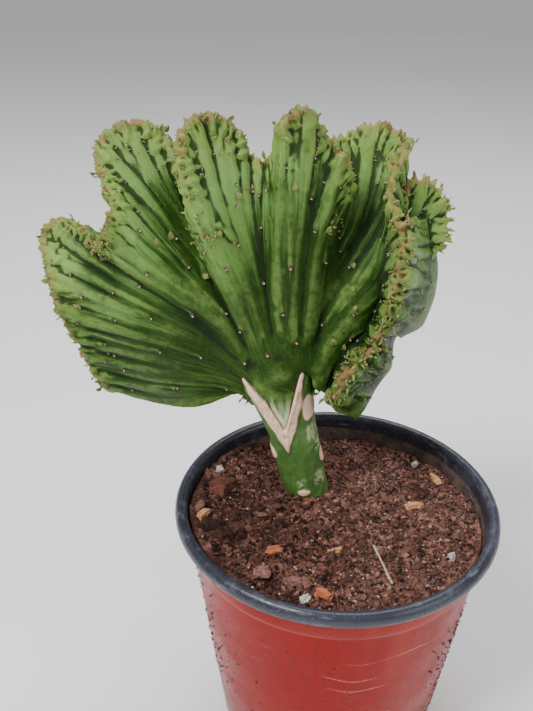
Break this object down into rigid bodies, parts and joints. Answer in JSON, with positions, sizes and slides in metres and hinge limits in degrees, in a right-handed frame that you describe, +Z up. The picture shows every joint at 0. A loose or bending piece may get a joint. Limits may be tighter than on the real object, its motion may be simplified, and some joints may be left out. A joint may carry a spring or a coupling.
{
  "type": "potted crested euphorbia",
  "caption": "Crested euphorbia, a wavy green fan grafted on an upright succulent rootstock, growing in bark potting mix in a round tapered plastic nursery pot.",
  "frame": {"origin": "centre of the pot's flat underside", "axes": "+Z up along the pot's axis; the crest's broad face looks along -Y"},
  "size_m": [0.2148, 0.1617, 0.3232],
  "materials": {
    "pot_plastic": "terracotta-red moulded plastic outside, black inside and on the lip, scuffed and dusty",
    "potting_mix": "coarse dark peat and bark crumbs with pale flecks",
    "stem_skin": "waxy green succulent skin with tan corky callus along the graft",
    "crest_skin": "waxy marbled green succulent skin, yellow-green at the rim, brown-pink areoles",
    "bark": "reddish brown conifer bark",
    "wood_chip": "pale weathered wood splinter",
    "perlite": "white porous perlite",
    "straw": "dry straw"
  },
  "bodies": {
    "root": {"nursery_pot": "pot_plastic", "potting_soil": "potting_mix", "rootstock_stem": "stem_skin", "crest_fan": "crest_skin", "bark_chunk": "bark", "wood_chip_left": "wood_chip", "bark_chip_orange": "bark", "bark_flake_pointed": "bark", "bark_flake_front": "bark", "bark_chip_russet": "bark", "twig_curl": "wood_chip", "wood_chip_right": "wood_chip", "wood_chip_far": "wood_chip", "perlite_left": "perlite", "perlite_far": "perlite", "perlite_front": "perlite", "perlite_right": "perlite", "straw_stalk": "straw"}
  },
  "joints": []
}
